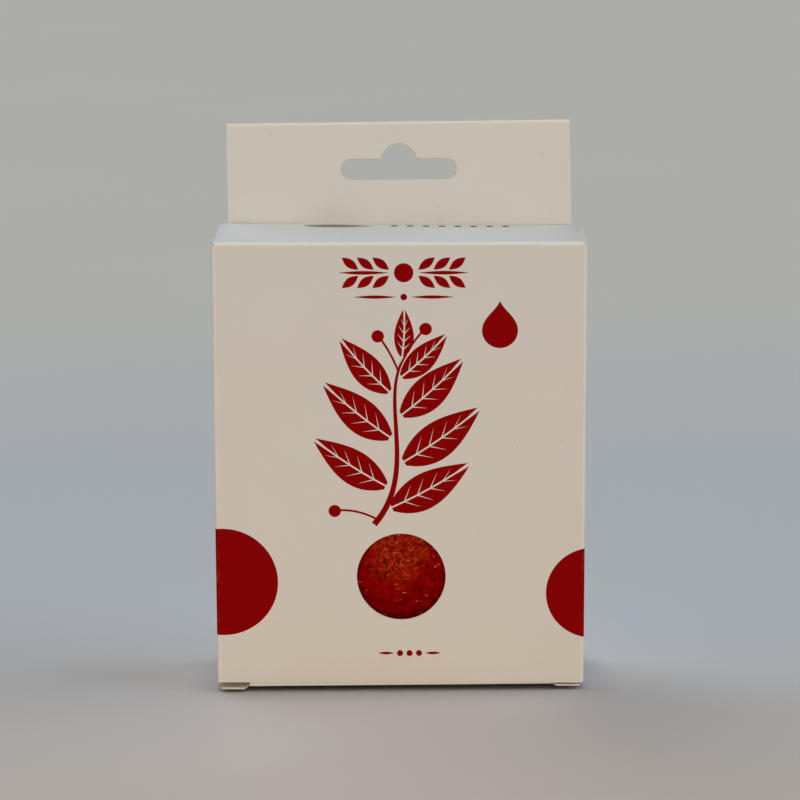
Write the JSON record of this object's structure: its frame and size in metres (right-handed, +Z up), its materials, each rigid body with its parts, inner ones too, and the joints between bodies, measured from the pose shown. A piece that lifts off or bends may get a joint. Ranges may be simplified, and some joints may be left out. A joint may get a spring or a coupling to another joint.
{
  "type": "konjac sponge",
  "caption": "Dome-shaped konjac facial sponge in a tuck-end hanging carton with a round window, hinged lid, base and dust flaps, and a slotted hang tab.",
  "frame": {"origin": "on the table, under the middle of the carton", "axes": "+Z up, front panel with the window faces -Y, +X to the right seen from the front"},
  "size_m": [0.1, 0.03, 0.1521],
  "materials": {
    "coated_board": "matte",
    "glue": "satin",
    "sponge": "matte"
  },
  "bodies": {
    "carton": {"front_panel": "coated_board", "back_panel": "coated_board", "left_side_panel": "coated_board", "right_side_panel": "coated_board", "seam_flap": "coated_board", "seam_glue": "glue"},
    "lid": {"top_panel": "coated_board"},
    "lid_tuck": {"top_tuck_flap": "coated_board"},
    "upper_left_flap": {"top_left_dust_flap": "coated_board"},
    "upper_right_flap": {"top_right_dust_flap": "coated_board"},
    "base": {"bottom_panel": "coated_board"},
    "base_tuck": {"bottom_tuck_flap": "coated_board"},
    "lower_left_flap": {"bottom_left_dust_flap": "coated_board"},
    "lower_right_flap": {"bottom_right_dust_flap": "coated_board"},
    "hang_tab": {"hang_tab_rear_ply": "coated_board", "hang_tab_front_ply": "coated_board", "hang_tab_glue": "glue"},
    "sponge": {"konjac_sponge": "sponge"}
  },
  "joints": [
    {"name": "lid_hinge", "type": "hinge", "parent": "carton", "child": "lid", "pos_m": [0, -0.015, 0.1238], "axis": [1, 0, 0], "range_deg": [0, 175]},
    {"name": "lid_tuck_hinge", "type": "hinge", "parent": "lid", "child": "lid_tuck", "pos_m": [0, 0.01308, 0.12324], "axis": [-1, 0, 0], "range_deg": [0, 35]},
    {"name": "upper_left_flap_hinge", "type": "hinge", "parent": "carton", "child": "upper_left_flap", "pos_m": [-0.05, 0, 0.1232], "axis": [0, -1, 0], "range_deg": [0, 90]},
    {"name": "upper_right_flap_hinge", "type": "hinge", "parent": "carton", "child": "upper_right_flap", "pos_m": [0.05, 0, 0.1232], "axis": [0, 1, 0], "range_deg": [0, 90]},
    {"name": "sponge_lift", "type": "slide", "parent": "carton", "child": "sponge", "axis": [0, 0, 1], "range_m": [0, 0.13]},
    {"name": "base_hinge", "type": "hinge", "parent": "carton", "child": "base", "pos_m": [0, 0.015, 0], "axis": [1, 0, 0], "range_deg": [0, 175]},
    {"name": "base_tuck_hinge", "type": "hinge", "parent": "base", "child": "base_tuck", "pos_m": [0, -0.01363, 0.00056], "axis": [-1, 0, 0], "range_deg": [0, 35]},
    {"name": "lower_left_flap_hinge", "type": "hinge", "parent": "carton", "child": "lower_left_flap", "pos_m": [-0.05, 0, 0.0006], "axis": [0, 1, 0], "range_deg": [0, 90]},
    {"name": "lower_right_flap_hinge", "type": "hinge", "parent": "carton", "child": "lower_right_flap", "pos_m": [0.05, 0, 0.0006], "axis": [0, -1, 0], "range_deg": [0, 90]},
    {"name": "hang_tab_fold", "type": "hinge", "parent": "carton", "child": "hang_tab", "pos_m": [0, 0.015, 0.123], "axis": [-1, 0, 0], "range_deg": [0, 175]}
  ],
  "couplings": [
    {"joint": "lid_hinge", "follows": "sponge_lift", "rad_per_m": 23.49},
    {"joint": "upper_left_flap_hinge", "follows": "sponge_lift", "rad_per_m": 12.08},
    {"joint": "upper_right_flap_hinge", "follows": "sponge_lift", "rad_per_m": 12.08},
    {"joint": "lower_left_flap_hinge", "follows": "base_hinge", "ratio": 0.514},
    {"joint": "lower_right_flap_hinge", "follows": "base_hinge", "ratio": 0.514}
  ]
}
